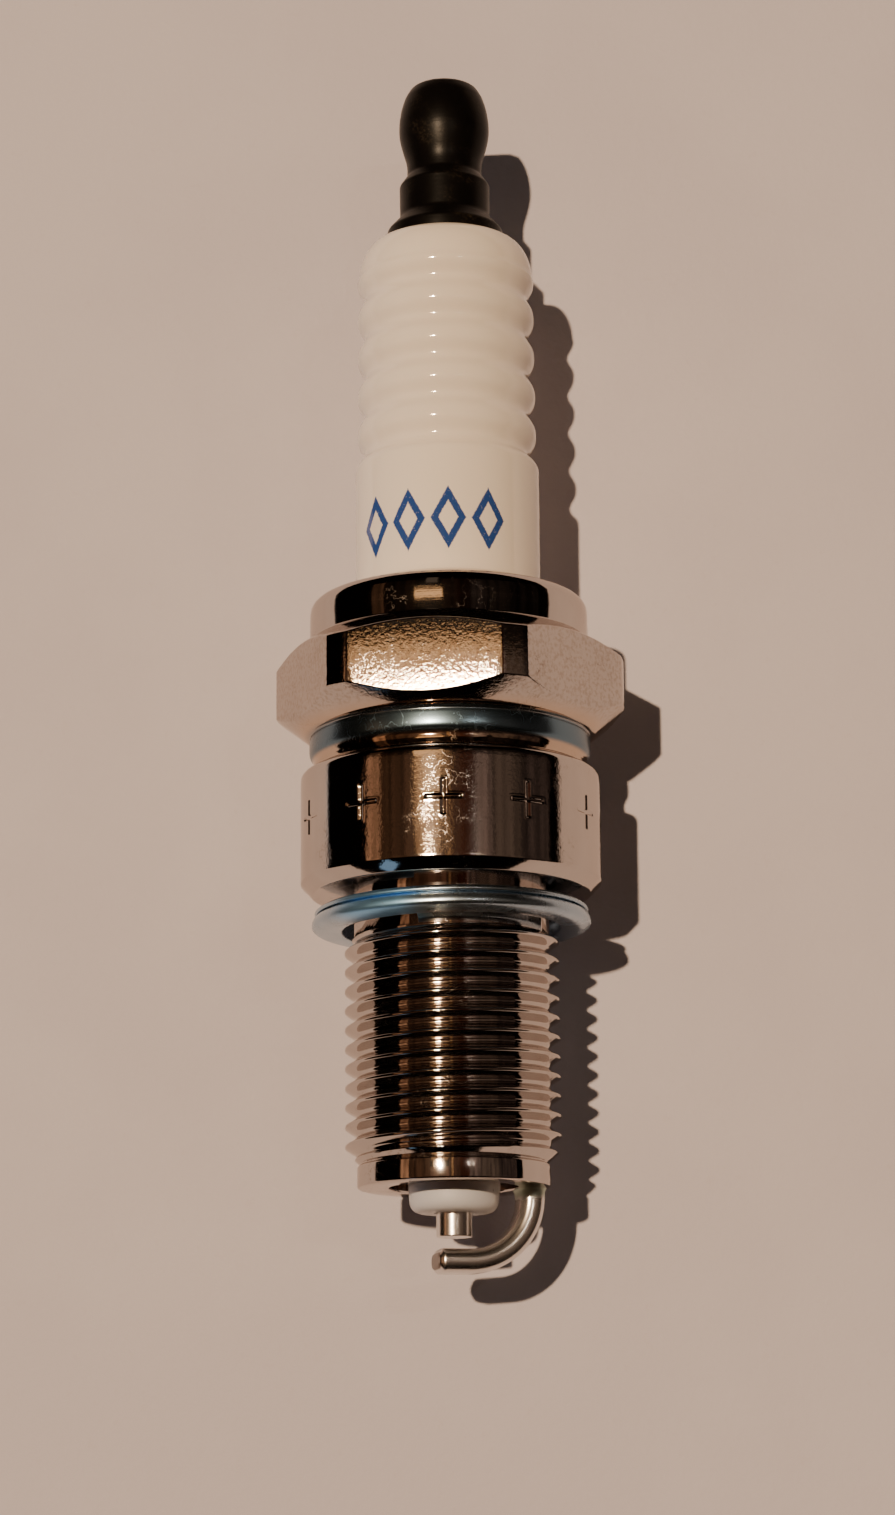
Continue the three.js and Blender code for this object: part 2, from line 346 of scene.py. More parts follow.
def threadPoints(thread, angles):
    # a row keeps its place on the thread form and climbs one pitch per turn:
    # z = row + pitch * angle / full turn, held between the two ends;
    # r = crest - flank slope * distance past the crest, kept above the root and under the run-out cones
    t = thread
    topSlope, lowSlope = 1.6, 1.1  # of the run-out cones
    n = t["rowsPerTurn"]
    turns = int(math.ceil((t["top"] - t["low"]) / t["pitch"])) + 3
    turn = angles[None, :] / (2 * math.pi)
    base = t["crestAt"] - t["pitch"] * (t["crestAngle"] - 90) / 360  # a crest's height at angle zero
    first = math.floor((t["low"] - base) / t["pitch"]) - 2
    row = first + np.arange(turns * n + 1)[:, None] / n
    z = base + t["pitch"] * (row + turn)
    away = np.abs((row + 0.5) % 1 - 0.5) * t["pitch"]
    form = t["crestR"] - np.maximum(away - t["crestFlat"] / 2, 0) * t["flank"]
    soft = 0.05 * t["pitch"]  # rounds the root
    form = t["rootR"] + soft * np.logaddexp(0, (form - t["rootR"]) / soft)
    held = np.clip(z, t["low"], t["top"])
    topCone = t["topR"] + (t["top"] - held) * topSlope
    lowCone = t["lowR"] + (held - t["low"]) * lowSlope
    r = np.minimum(form + 0 * turn, np.minimum(topCone, lowCone))
    return np.stack([r * np.cos(angles), r * np.sin(angles), held], -1)


def hexAngles():
    # forty columns for each side, closer together where a flat meets a rounded corner
    edge = math.acos(shell["hexR"] / shell["cornerR"])
    corner = math.pi / 3 - 2 * edge
    soft = math.radians(0.5)
    side = np.concatenate([
        np.linspace(-edge + soft, edge - soft, 30)[:-1],
        np.linspace(edge - soft, edge + soft, 4)[:-1],
        np.linspace(edge + soft, edge + corner - soft, 6)[:-1],
        np.linspace(edge + corner - soft, edge + corner + soft, 4)[:-1],
    ])
    return np.concatenate([side + (k + 0.5) * math.pi / 3 for k in range(6)])


def hexRadius(angles):
    # distance to a flat, hexR / cos(angle from its middle), blended softly into the corner circle
    off = angles % (math.pi / 3) - math.pi / 6
    soft = 0.03
    flat = shell["hexR"] / np.cos(off)
    return -soft * np.logaddexp(-flat / soft, -shell["cornerR"] / soft)


def barrelPoints(angles):
    # a cylinder with crosses rolled in: the depth falls off smoothly across each arm,
    # and the metal pushed aside stands up a little round it
    s = shell
    reach = s["markArm"] + s["markMargin"]
    zRows = np.concatenate([
        np.linspace(s["barrelHigh"] - s["bandHigh"], s["markZ"] + reach, 5)[:-1],
        np.linspace(s["markZ"] + reach, s["markZ"] - reach, 46),
        np.linspace(s["markZ"] - reach, s["barrelLow"] + s["bandLow"], 5)[1:],
    ])[:, None]
    step = 2 * math.pi / s["marks"]
    centre = math.radians(s["markAngle"] - 90)
    along = ((angles[None, :] - centre + step / 2) % step - step / 2) * s["barrelR"]
    up = zRows - s["markZ"]
    half, arm = s["markStroke"], s["markArm"]
    upright = np.maximum(np.abs(along) / half, 1 + (np.abs(up) - arm) / half)
    level = np.maximum(np.abs(up) / half, 1 + (np.abs(along) - arm) / half)
    away = np.minimum(upright, level)
    dent = 1 - smoothStep(0.55, 1.25, away)
    rim = np.exp(-(((away - 1.6) / 0.35) ** 2))
    r = s["barrelR"] - s["markDepth"] * dent + s["markRim"] * rim - s["markRim"]
    return np.stack([r * np.cos(angles), r * np.sin(angles), zRows + 0 * along], -1)


def makeShell(material):
    # turned profiles stacked as blocks of rows; where two blocks have other column counts, or the
    # surface turns back into the bore, flat ring-shaped faces bridge them
    s = shell
    blocks, faces, starts = [], [], [0]

    def add(block, lift=0):
        rows, columns = block.shape[:2]
        start = starts[-1]
        blocks.append(block.reshape(-1, 3))
        faces.extend(gridFaces(rows, columns, start, lift))
        starts.append(start + rows * columns)
        return start, start + (rows - 1) * columns

    wide = hexAngles()
    thin = evenAngles(len(wide) // 2) + wide[0]
    fine = evenAngles(len(wide) * 3) + wide[0]

    # threaded end: the neck under the seat, the thread, the end ring and the bore
    seatInner, _ = add(turnedPoints(roundedRows([
        (s["topR"], s["seatZ"], 0), (s["topR"], s["top"], 0)]), thin))
    add(threadPoints(s, thin), lift=s["rowsPerTurn"])
    _, boreLast = add(turnedPoints(roundedRows([
        (s["lowR"], s["low"], 0), (s["lowR"], s["ringTop"], 0.02), (s["endR"], s["ringTop"] - 0.1, 0.08),
        (s["endR"], s["endZ"], 0.16), (s["mouthR"], s["endZ"], 0.14), (s["mouthR"], s["ledgeZ"], 0.1),
        (s["middleR"], s["ledgeZ"] + 0.45, 0.1), (s["middleR"], s["ledgeEnd"], 0),
    ]), thin))

    # main bore, rolled crimp, collar, hexagon and neck
    r = hexRadius(wide)
    lowCrease = s["hexLow"] + (r - s["hexR"]) * s["hexLowSlope"]
    highCrease = s["hexHigh"] - (r - s["hexR"]) * s["hexHighSlope"]
    lowFoot = s["hexLow"] + (s["hexFootR"] - s["hexR"]) * s["hexLowSlope"]
    highFoot = s["hexHigh"] - (s["collarR"] - s["hexR"]) * s["hexHighSlope"]
    mainFirst, grooveLast = add(turnedPoints(roundedRows([
        (s["mainR"], s["flangeSeatZ"], 0), (s["mainR"], s["boreHigh"], 0.2),
        (6.9, 22.0, 0.2), (s["lipR"], 22.2, 0.1),
        (s["lipR"], s["crimpTop"] - 0.04, 0.08), (s["lipR"] + 0.25, s["crimpTop"], 0.15),
        (7.6, 22.38, 0.5), (s["collarR"] - 0.02, s["crimpEdge"], 0.62), (s["collarR"], 20.6, 0.3),
        (s["collarR"], highFoot + 0.1, 0.06), (s["collarR"] + 0.12, highFoot - 0.02, 0.06),
        (r, highCrease, 0.09), (r, lowCrease, 0.09),
        (s["hexFootR"], lowFoot, 0.3), (9.12, s["neckHigh"] - 0.06, 0.12),
        (s["neckR"], s["neckHigh"] - 0.3, 0.1),
        (s["neckR"] + 0.03, 12.2, 0.4), (s["neckR"], 11.75, 0.2), (9.0, s["neckLow"], 0.15),
        (s["grooveR"], 11.3, 0.1), (s["grooveR"], 11.1, 0),
    ]), wide))

    # barrel, from the groove down to the seat
    b = s["barrelR"] - s["markRim"]
    grooveFirst, _ = add(turnedPoints(roundedRows([
        (s["grooveR"], 11.0, 0), (s["grooveR"] + 0.03, 10.72, 0.06), (9.2, s["barrelHigh"] + 0.25, 0.12),
        (b, s["barrelHigh"], 0.5), (b, s["barrelHigh"] - s["bandHigh"], 0),
    ], 6), fine))
    add(barrelPoints(fine))
    _, seatOuter = add(turnedPoints(roundedRows([
        (b, s["barrelLow"] + s["bandLow"], 0), (b, s["barrelLow"], 0.07), (s["seatR"], s["seatZ"], 0.1),
        (s["seatR"] - 0.2, s["seatZ"], 0),
    ]), fine))

    faces += bridgeFaces(boreLast, mainFirst, len(thin), len(wide))
    faces += bridgeFaces(grooveLast, grooveFirst, len(wide), len(fine))
    faces += bridgeFaces(seatInner, seatOuter, len(thin), len(fine))
    return pieceFrom("metalShell", np.concatenate(blocks), faces, material, 60)


def nickelMaterial():
    s = shell
    material, tree, shader = newMaterial("nickelPlate")
    point = objectPoint(tree)
    height = heightNode(tree, point)
    patches = groupNode(tree, smudges, Point=point, Size=320.0)
    clouds, veins = patches.outputs["Clouds"], patches.outputs["Veins"]
    # the hexagon is rolled rough and the barrel is lightly dented
    onHex = band(tree, height, 13.2, 13.9, 18.2, 18.9)
    onBarrel = band(tree, height, 2.8, 3.6, 9.6, 10.4)
    dented = times(tree, onBarrel, mapRange(tree, clouds, 0.4, 0.6, 0.1, 0.34))
    rolled = mathNode(tree, "MULTIPLY_ADD", onHex, 0.42, 0.05)
    amount = mathNode(tree, "ADD", rolled, dented, clamp=True)
    grain = turnedFinish(tree, shader, point, 4200.0, 0.000022, amount, 7000.0, 0.0000012)
    nickel = mixColor(tree, clouds, s["nickel"], s["nickelDull"])
    stained = mixColor(tree, times(tree, veins, 0.55), nickel, s["stain"])
    # temper colours where the neck was heated, and a little brown in the pits of the hexagon
    ring = band(tree, height, 11.3, 11.6, 12.8, 13.15)
    halo = band(tree, height, 10.2, 10.9, 13.0, 13.9)
    warm = mixColor(tree, times(tree, halo, 0.5), stained, s["temperStraw"])
    pits = times(tree, grain.outputs["Mask"], times(tree, onHex, 0.3))
    warm = mixColor(tree, pits, warm, s["pitBrown"])
    tinted = mixColor(tree, times(tree, ring, 0.9), warm, s["temperBlue"])
    tree.links.new(tinted, shader.inputs["Base Color"])
    shader.inputs["Metallic"].default_value = 1.0
    shader.inputs["Specular Tint"].default_value = (0.84, 0.79, 0.76, 1)
    rough = mathNode(tree, "MULTIPLY_ADD", clouds, 0.06, 0.035)
    rough = mathNode(tree, "MULTIPLY_ADD", ring, 0.18, rough)
    tree.links.new(mathNode(tree, "MULTIPLY_ADD", veins, 0.2, rough), shader.inputs["Roughness"])
    return material


metalShell = makeShell(nickelMaterial())
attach(metalShell, "plug")
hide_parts("metal_shell")
print("metal shell", len(metalShell.data.polygons), "faces")


insulator = {
    "noseEnd": -17.98, "noseR": 2.8, "boreR": 1.25, "studBoreR": 2.05, "boreStep": 0.8, "ledgeZ": -4.8,
    "lowR": 4.7, "flangeR": 7.45, "labelR": 6.12, "crestR": 5.92, "grooveR": 5.48, "topZ": 47.2,
    "shoulderR": 4.25, "shoulderWide": 1.6, "shoulderTall": 2.6,
    "grooves": 5, "pitch": 2.73, "topGroove": 43.15, "ribsLow": 30.2, "ribsHigh": 44.5,
    "crestSwell": 0.05, "swellLow": 33.0, "swellHigh": 40.0, "labelLow": 24.0, "columns": 160,
    "printZ": 26.3, "printTall": 4.1, "printStart": -54.0, "printEnd": 47.0, "printCount": 4,
    "printHalf": 0.42, "ink": (0.030, 0.075, 0.27),
    "white": (0.95, 0.85, 0.73), "cream": (0.90, 0.78, 0.64), "dust": (0.10, 0.07, 0.05),
    "bareNose": (0.60, 0.59, 0.61), "soot": (0.16, 0.14, 0.14),
}


def makeInsulator(material):
    # ribs: r = crest - depth * |cos|^3 of the place between grooves, easing out to the plain cylinder
    s = insulator
    z = np.linspace(s["ribsLow"], s["ribsHigh"], 110)
    place = (z - s["topGroove"]) / s["pitch"]
    crest = s["crestR"] + s["crestSwell"] * smoothStep(s["swellHigh"], s["swellLow"], z)
    ribs = crest - (s["crestR"] - s["grooveR"]) * np.abs(np.cos(math.pi * place)) ** 3
    lowest = s["topGroove"] - (s["grooves"] - 1) * s["pitch"]
    ribs = ribs + (s["labelR"] - ribs) * smoothStep(lowest - 0.35, lowest - 1.25, z)
    ribs = np.where(z > s["topGroove"] + 1.2, crest, ribs)
    waves = np.stack([ribs, z], -1)[:, :, None]
    low = roundedRows([
        (s["boreR"], s["noseEnd"] + 3, 0), (s["boreR"], s["noseEnd"], 0.12),
        (s["noseR"] + 0.03, s["noseEnd"], 0.85),
        (3.45, s["ledgeZ"], 0.2), (3.6, s["ledgeZ"] + 0.3, 0.1), (s["lowR"], s["ledgeZ"] + 0.95, 0.2),
        (s["lowR"], 3.5, 0.3), (s["flangeR"], 5.5, 0.4), (s["flangeR"], 16.4, 0.3), (s["labelR"], 17.7, 0.4),
        (s["labelR"], s["labelLow"], 0), (s["labelR"], s["ribsLow"], 0),
    ], 6)
    # the top edge is a quarter of an ellipse: (r, z) = (R + wide * cos t, top - tall * (1 - sin t))
    t = np.linspace(0, math.pi / 2, 16)
    edgeR = s["shoulderR"] + s["shoulderWide"] * np.cos(t)
    edge = np.stack([edgeR, s["topZ"] - s["shoulderTall"] * (1 - np.sin(t))], -1)[:, :, None]
    high = roundedRows([
        (3.6, s["topZ"], 0), (3.4, s["topZ"], 0), (s["studBoreR"], s["topZ"], 0.1),
        (s["studBoreR"], s["boreStep"] + 0.8, 0.1),
        (s["boreR"], s["boreStep"], 0.1), (s["boreR"], s["noseEnd"] + 3, 0),
    ], 6)
    rows = np.concatenate([low, waves, edge, high])
    points = turnedPoints(rows, evenAngles(s["columns"]))
    faces = gridFaces(len(rows), s["columns"])
    return pieceFrom("insulator", points, faces, material, 60)


def printedRow(tree, point):
    # four hollow lozenges in a row round the cylinder: |across| + |up|, measured inside each cell,
    # is inked close to 0.8, with a ragged edge
    s = insulator
    cell = math.radians((s["printEnd"] - s["printStart"]) / s["printCount"])
    turn = mathNode(tree, "SUBTRACT", azimuthNode(tree, point), math.radians(s["printStart"]))
    place = mathNode(tree, "DIVIDE", turn, cell)
    inside = times(tree, mathNode(tree, "GREATER_THAN", place, 0.0),
                   mathNode(tree, "LESS_THAN", place, float(s["printCount"])))
    across = mathNode(tree, "ABSOLUTE", mathNode(tree, "SUBTRACT", mathNode(tree, "FRACT", place), 0.5))
    across = mathNode(tree, "DIVIDE", across, s["printHalf"])
    up = mathNode(tree, "ABSOLUTE", mathNode(tree, "SUBTRACT", heightNode(tree, point), s["printZ"]))
    up = mathNode(tree, "DIVIDE", up, s["printTall"] / 2)
    blot = noiseNode(tree, point, 5200.0, 3.0, 0.6)
    ragged = mathNode(tree, "MULTIPLY_ADD", blot, 0.12, -0.06)
    diamond = mathNode(tree, "ADD", mathNode(tree, "ADD", across, up), ragged)
    off = mathNode(tree, "ABSOLUTE", mathNode(tree, "SUBTRACT", diamond, 0.8))
    stroke = times(tree, mapRange(tree, off, 0.19, 0.27, 1.0, 0.0), inside)
    return times(tree, stroke, mapRange(tree, blot, 0.2, 0.42, 0.7, 1.0))


def glazeMaterial():
    s = insulator
    material, tree, shader = newMaterial("glazedAlumina")
    point = objectPoint(tree)
    patches = groupNode(tree, smudges, Point=point, Size=120.0)
    clouds = patches.outputs["Clouds"]
    white = mixColor(tree, clouds, s["white"], s["cream"])
    dust = groupNode(tree, specks, Point=point, Size=260.0, Radius=0.035)
    body = mixColor(tree, times(tree, dust.outputs["Mask"], 0.75), white, s["dust"])
    # the nose is left bare, and holds specks of soot
    nose = mapRange(tree, heightNode(tree, point), -14.0, -17.2)
    soot = groupNode(tree, specks, Point=point, Size=1500.0, Radius=0.16)
    matte = mixColor(tree, times(tree, soot.outputs["Mask"], 0.6), s["bareNose"], s["soot"])
    body = mixColor(tree, nose, body, matte)
    tree.links.new(mixColor(tree, printedRow(tree, point), body, s["ink"]), shader.inputs["Base Color"])
    gloss = mathNode(tree, "MULTIPLY_ADD", clouds, 0.05, times(tree, nose, 0.5))
    tree.links.new(mathNode(tree, "ADD", gloss, 0.04), shader.inputs["Roughness"])
    glazeFlow = groupNode(tree, platingGrain, Point=point, Size=700.0, Height=0.000012, Amount=0.35)
    tree.links.new(glazeFlow.outputs["Normal"], shader.inputs["Normal"])
    shader.inputs["IOR"].default_value = 1.62
    shader.inputs["Coat Weight"].default_value = 0.4
    shader.inputs["Coat Roughness"].default_value = 0.05
    shader.inputs["Subsurface Weight"].default_value = 0.06
    shader.inputs["Subsurface Radius"].default_value = (0.0012, 0.0009, 0.0006)
    shader.inputs["Subsurface Scale"].default_value = 1.0
    return material


insulatorPiece = makeInsulator(glazeMaterial())
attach(insulatorPiece, "plug")
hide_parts("insulator")
print("insulator", len(insulatorPiece.data.polygons), "faces")


nut = {
    "bottom": 47.25, "flangeR": 3.9, "flangeTop": 48.15, "bodyR": 3.05, "skirtZ": 49.1, "waistR": 2.52,
    "waistZ": 52.15, "headZ": 55.1, "topZ": 58.7, "boreR": 2.0, "boreTop": 55.9, "mouth": 0.25,
    "columns": 128,
    "oxide": (0.002, 0.0015, 0.0015), "oxideGrey": (0.005, 0.004, 0.0035), "rubbed": (0.06, 0.045, 0.03),
}


def makeNut(material):
    # turned profile with every corner eased; the bore is open below and closed above
    s = nut
    b = s["bottom"]
    rows = roundedRows([
        (s["boreR"] + s["mouth"], b, 0.05), (s["flangeR"], b, 0.05), (s["flangeR"], s["flangeTop"], 0.15),
        (s["bodyR"] - 0.02, s["skirtZ"], 0.2), (s["bodyR"], 51.4, 0.12), (2.66, 51.95, 0.1),
        (s["waistR"], s["waistZ"], 0.15), (s["waistR"], 53.1, 0.5), (2.84, 54.15, 0.4),
        (s["bodyR"] + 0.01, s["headZ"], 0.5), (3.05, 56.05, 0.4),
        (2.9, 57.0, 0.4), (2.62, 57.85, 0.25), (2.25, 58.45, 0.2), (1.7, s["topZ"], 0.15), (0, s["topZ"], 0),
    ], 6)
    inner = roundedRows([
        (0, s["boreTop"] + 0.6, 0), (s["boreR"], s["boreTop"], 0.05), (s["boreR"], b + s["mouth"], 0.02),
        (s["boreR"] + s["mouth"], b, 0),
    ])
    allRows = np.concatenate([rows, inner])
    points = turnedPoints(allRows, evenAngles(s["columns"]))
    faces = gridFaces(len(rows), s["columns"])
    faces += gridFaces(len(inner), s["columns"], len(rows) * s["columns"])
    return pieceFrom("terminalNut", points, faces, material, 50)


def blackOxideMaterial():
    material, tree, shader = newMaterial("blackOxide")
    point = objectPoint(tree)
    clouds = groupNode(tree, smudges, Point=point, Size=500.0).outputs["Clouds"]
    grain = turnedFinish(tree, shader, point, 6000.0, 0.000008, 0.5, 6500.0, 0.000004)
    worn = times(tree, grain.outputs["Mask"], mapRange(tree, clouds, 0.52, 0.75))
    dark = mixColor(tree, clouds, nut["oxide"], nut["oxideGrey"])
    tree.links.new(mixColor(tree, times(tree, worn, 0.35), dark, nut["rubbed"]), shader.inputs["Base Color"])
    tree.links.new(mathNode(tree, "MULTIPLY_ADD", clouds, 0.14, 0.26), shader.inputs["Roughness"])
    shader.inputs["Specular IOR Level"].default_value = 0.1
    return material


nutPiece = makeNut(blackOxideMaterial())
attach(nutPiece, "terminal_nut")
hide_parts("terminal_nut")
print("terminal nut")


stud = {
    "pitch": 0.7, "crestR": 1.93, "rootR": 1.55, "crestFlat": 0.08, "flank": 1.6, "rowsPerTurn": 14,
    "low": 47.75, "top": 55.3, "crestAt": 50.0, "crestAngle": 0.0, "lowR": 1.55, "topR": 1.5,
    "bodyR": 1.75, "seatR": 1.93, "footR": 1.3, "footZ": 8.8, "bodyLow": 12.2, "bodyHigh": 45.4, "topZ": 55.6,
    "columns": 72, "steel": (0.50, 0.47, 0.44),
}


def makeStud(material):
    # turned foot and body below, the same helical thread form as the shell's above, then the end
    s = stud
    angles = evenAngles(s["columns"])
    foot = turnedPoints(roundedRows([
        (0, s["footZ"], 0), (s["footR"], s["footZ"] + 0.3, 0.1), (s["footR"], s["bodyLow"] - 0.4, 0.1),
        (s["bodyR"], s["bodyLow"], 0.1), (s["bodyR"], s["bodyHigh"], 0.1),
        (s["seatR"], 45.6, 0.1), (s["seatR"], 47.3, 0.1), (s["lowR"], s["low"], 0),
    ]), angles)
    thread = threadPoints(s, angles)
    end = turnedPoints(roundedRows([
        (s["topR"], s["top"], 0), (s["topR"] - 0.1, s["topZ"], 0.1), (0, s["topZ"], 0)]), angles)
    faces = gridFaces(len(foot), len(angles))
    faces += gridFaces(len(thread), len(angles), foot.shape[0] * len(angles), s["rowsPerTurn"])
    faces += gridFaces(len(end), len(angles), (foot.shape[0] + thread.shape[0]) * len(angles))
    points = np.concatenate([foot, thread, end])
    return pieceFrom("terminalStud", points, faces, material, 50)


def metalMaterial(name, color, roughness):
    # a turned metal with cloudy patches that are darker and rougher
    material, tree, shader = newMaterial(name)
    point = objectPoint(tree)
    clouds = groupNode(tree, smudges, Point=point, Size=420.0).outputs["Clouds"]
    turnedFinish(tree, shader, point, 5000.0, 0.000006, 0.4, 9000.0, 0.000003)
    dull = tuple(c * 0.72 for c in color)
    tree.links.new(mixColor(tree, clouds, color, dull), shader.inputs["Base Color"])
    tree.links.new(mathNode(tree, "MULTIPLY_ADD", clouds, 0.2, roughness - 0.1), shader.inputs["Roughness"])
    shader.inputs["Metallic"].default_value = 1.0
    return material


bareSteel = metalMaterial("bareSteel", stud["steel"], 0.34)
studPiece = makeStud(bareSteel)
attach(studPiece, "plug")
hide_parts("terminal_stud")
print("terminal stud")


gasket = {
    "outerR": 9.07, "boreR": 6.74, "height": 1.78, "lipLow": 1.2, "columns": 160,
    "squash": 0.9, "raise": 0.09, "leanSlope": 0.0094255532, "wander": 0.0012,
    # the bright blue is a painted highlight, laid on one side of the ring
    "zinc": (0.44, 0.56, 0.68), "zincDull": (0.34, 0.44, 0.55), "paintedBlueSheen": (0.30, 0.62, 1.0),
    "veinGrey": (0.30, 0.32, 0.34),
}


def makeGasket(material):
    # section: a flattened lower roll, a crease, and a thinner lip folded back on top;
    # the ring leans a little, z = z * squash + raise + x * slope, held between its two faces, and
    # its rim wanders by about a hundredth
    s = gasket
    rows = roundedRows([
        (s["boreR"] + 0.25, 0.35, 0), (s["boreR"] + 0.35, 0.1, 0.12), (7.5, 0.0, 0.3), (8.35, 0.02, 0.4),
        (s["outerR"] - 0.06, 0.28, 0.35), (s["outerR"], 0.72, 0.3), (s["outerR"] - 0.22, 1.16, 0.2),
        (s["outerR"] - 0.75, s["lipLow"] - 0.02, 0.05), (s["outerR"] - 0.75, s["lipLow"] + 0.05, 0.03),
        (s["outerR"] - 0.24, s["lipLow"] + 0.06, 0.1), (s["outerR"] - 0.17, 1.48, 0.12),
        (s["outerR"] - 0.5, s["height"] - 0.04, 0.2), (7.7, s["height"] - 0.06, 0.3),
        (s["boreR"] + 0.1, 1.5, 0.3), (s["boreR"], 0.95, 0.3), (s["boreR"] + 0.25, 0.35, 0),
    ], 6)
    angles = evenAngles(s["columns"])
    points = turnedPoints(rows, angles)
    wander = 1 - s["wander"] * (1 + np.sin(3 * angles + 0.6) * 0.6 + np.sin(7 * angles + 2.0) * 0.4)
    points[..., 0] *= wander
    points[..., 1] *= wander
    leaned = points[..., 2] * s["squash"] + s["raise"] + points[..., 0] * s["leanSlope"]
    points[..., 2] = np.clip(leaned, 0.0, s["height"])
    faces = gridFaces(len(rows), s["columns"])
    return pieceFrom("crushGasket", points, faces, material, 60)


def zincMaterial():
    material, tree, shader = newMaterial("bluePassivatedZinc")
    point = objectPoint(tree)
    patches = groupNode(tree, smudges, Point=point, Size=380.0)
    clouds, veins = patches.outputs["Clouds"], patches.outputs["Veins"]
    turnedFinish(tree, shader, point, 4200.0, 0.000008, 0.5, 5000.0, 0.000002)
    # painted highlight: a bright blue is painted on one side of the ring, standing in for a cool sheen, and
    # that side is made rougher
    paintedBlueSheen = band(tree, azimuthNode(tree, point), -0.95, -0.55, -0.25, 0.0)
    zinc = mixColor(tree, clouds, gasket["zinc"], gasket["zincDull"])
    zinc = mixColor(tree, paintedBlueSheen, zinc, gasket["paintedBlueSheen"])
    zinc = mixColor(tree, times(tree, veins, 0.4), zinc, gasket["veinGrey"])
    tree.links.new(zinc, shader.inputs["Base Color"])
    rough = mathNode(tree, "MULTIPLY_ADD", clouds, 0.18, 0.17)
    tree.links.new(mathNode(tree, "MULTIPLY_ADD", paintedBlueSheen, 0.16, rough), shader.inputs["Roughness"])
    shader.inputs["Metallic"].default_value = 1.0
    return material


gasketPiece = makeGasket(zincMaterial())
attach(gasketPiece, "gasket")
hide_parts("gasket")
print("gasket")


electrode = {
    "tipR": 1.15, "tipZ": -19.5, "headR": 1.85, "headLow": 1.75, "headTop": 2.6,
    "coreR": 0.62, "coreZ": -17.75, "columns": 96,
    "gap": 0.75, "strapThick": 1.55, "strapWide": 2.7, "strapBaseR": 5.0, "bendR": 4.1, "pastAxis": 1.25,
    "strapTurnDeg": 23.7, "strapColumns": 64, "sink": 0.12, "sectionPower": 0.85,
    "footThick": 0.16, "footWide": 0.10, "footTall": 0.16, "tipRows": 4.0, "tipEase": 0.4,
    # the third colour is painted shade for the strap's cut end
    "alloy": (0.84, 0.80, 0.77), "alloyDull": (0.72, 0.68, 0.65), "paintedDarkEnd": (0.16, 0.12, 0.10),
    "weld": (0.30, 0.40, 0.30),
}


def makeCentre(material):
    # nickel jacket, open above for the copper core
    s = electrode
    rows = roundedRows([
        (0, s["tipZ"], 0), (s["tipR"], s["tipZ"], 0.07), (s["tipR"], s["headLow"] - 0.75, 0.1),
        (s["headR"], s["headLow"], 0.1), (s["headR"], s["headTop"], 0.1), (s["coreR"], s["headTop"], 0.05),
        (s["coreR"], s["coreZ"], 0.05), (0, s["coreZ"], 0),
    ], 6)
    points = turnedPoints(rows, evenAngles(s["columns"]))
    return pieceFrom("centreElectrode", points, gridFaces(len(rows), s["columns"]), material, 50)


def makeStrap(material):
    # a J path of line, quarter circle, line, with a round-sided bar carried along it: across is a
    # flat plus |sin a|^power of half the thickness and thick is |cos a|^power of it, each with its
    # own sign; the bar flares into a weld foot at the shell and rounds off at the tip
    s = electrode
    half, wide = s["strapThick"] / 2, s["strapWide"] / 2
    middle = s["tipZ"] - s["gap"] - half
    bendX, bendZ = s["strapBaseR"] - s["bendR"], middle + s["bendR"]
    top = shell["endZ"] + s["sink"]
    down = np.linspace(top, bendZ, 26)
    turn = np.linspace(0, math.pi / 2, 26)[1:]
    back = np.linspace(bendX, -s["pastAxis"], 22)[1:]
    x = np.concatenate([0 * down + s["strapBaseR"], bendX + s["bendR"] * np.cos(turn), back])
    z = np.concatenate([down, bendZ - s["bendR"] * np.sin(turn), 0 * back + middle])
    lean = np.concatenate([0 * down, turn, 0 * back + math.pi / 2])
    foot = np.exp(-np.maximum(shell["endZ"] - z, 0) / s["footTall"]) * (lean == 0)
    a = evenAngles(s["strapColumns"])
    power = s["sectionPower"]
    u = np.sign(np.cos(a)) * np.abs(np.cos(a)) ** power
    v = np.sign(np.sin(a)) * (1 - half / wide + half / wide * np.abs(np.sin(a)) ** power)
    last = len(x) - 1
    tip = smoothStep(last - s["tipRows"], last, np.arange(len(x))) ** 2 * s["tipEase"]
    thick = (half * (1 + s["footThick"] * foot - tip))[:, None] * u
    across = (wide * (1 + s["footWide"] * foot - tip * 0.5))[:, None] * v
    px = x[:, None] + thick * np.cos(lean)[:, None]
    pz = z[:, None] - thick * np.sin(lean)[:, None]
    body = np.stack([px, across, pz], -1)
    # each end closes in two rings on its own middle
    shrink = np.array([0.6, 0.0])[:, None, None]
    middles = body.mean(1, keepdims=True)
    ends = [middles[k] + (body[k] - middles[k]) * shrink for k in (0, -1)]
    rows = np.concatenate([ends[0][::-1], body, ends[1]])
    angle = math.radians(s["strapTurnDeg"])
    c, d = math.cos(angle), math.sin(angle)
    px, py, pz = rows[..., 0], rows[..., 1], rows[..., 2]
    turned = np.stack([px * c - py * d, px * d + py * c, pz], -1)
    return pieceFrom("groundStrap", turned, gridFaces(len(rows), s["strapColumns"]), material, 50)


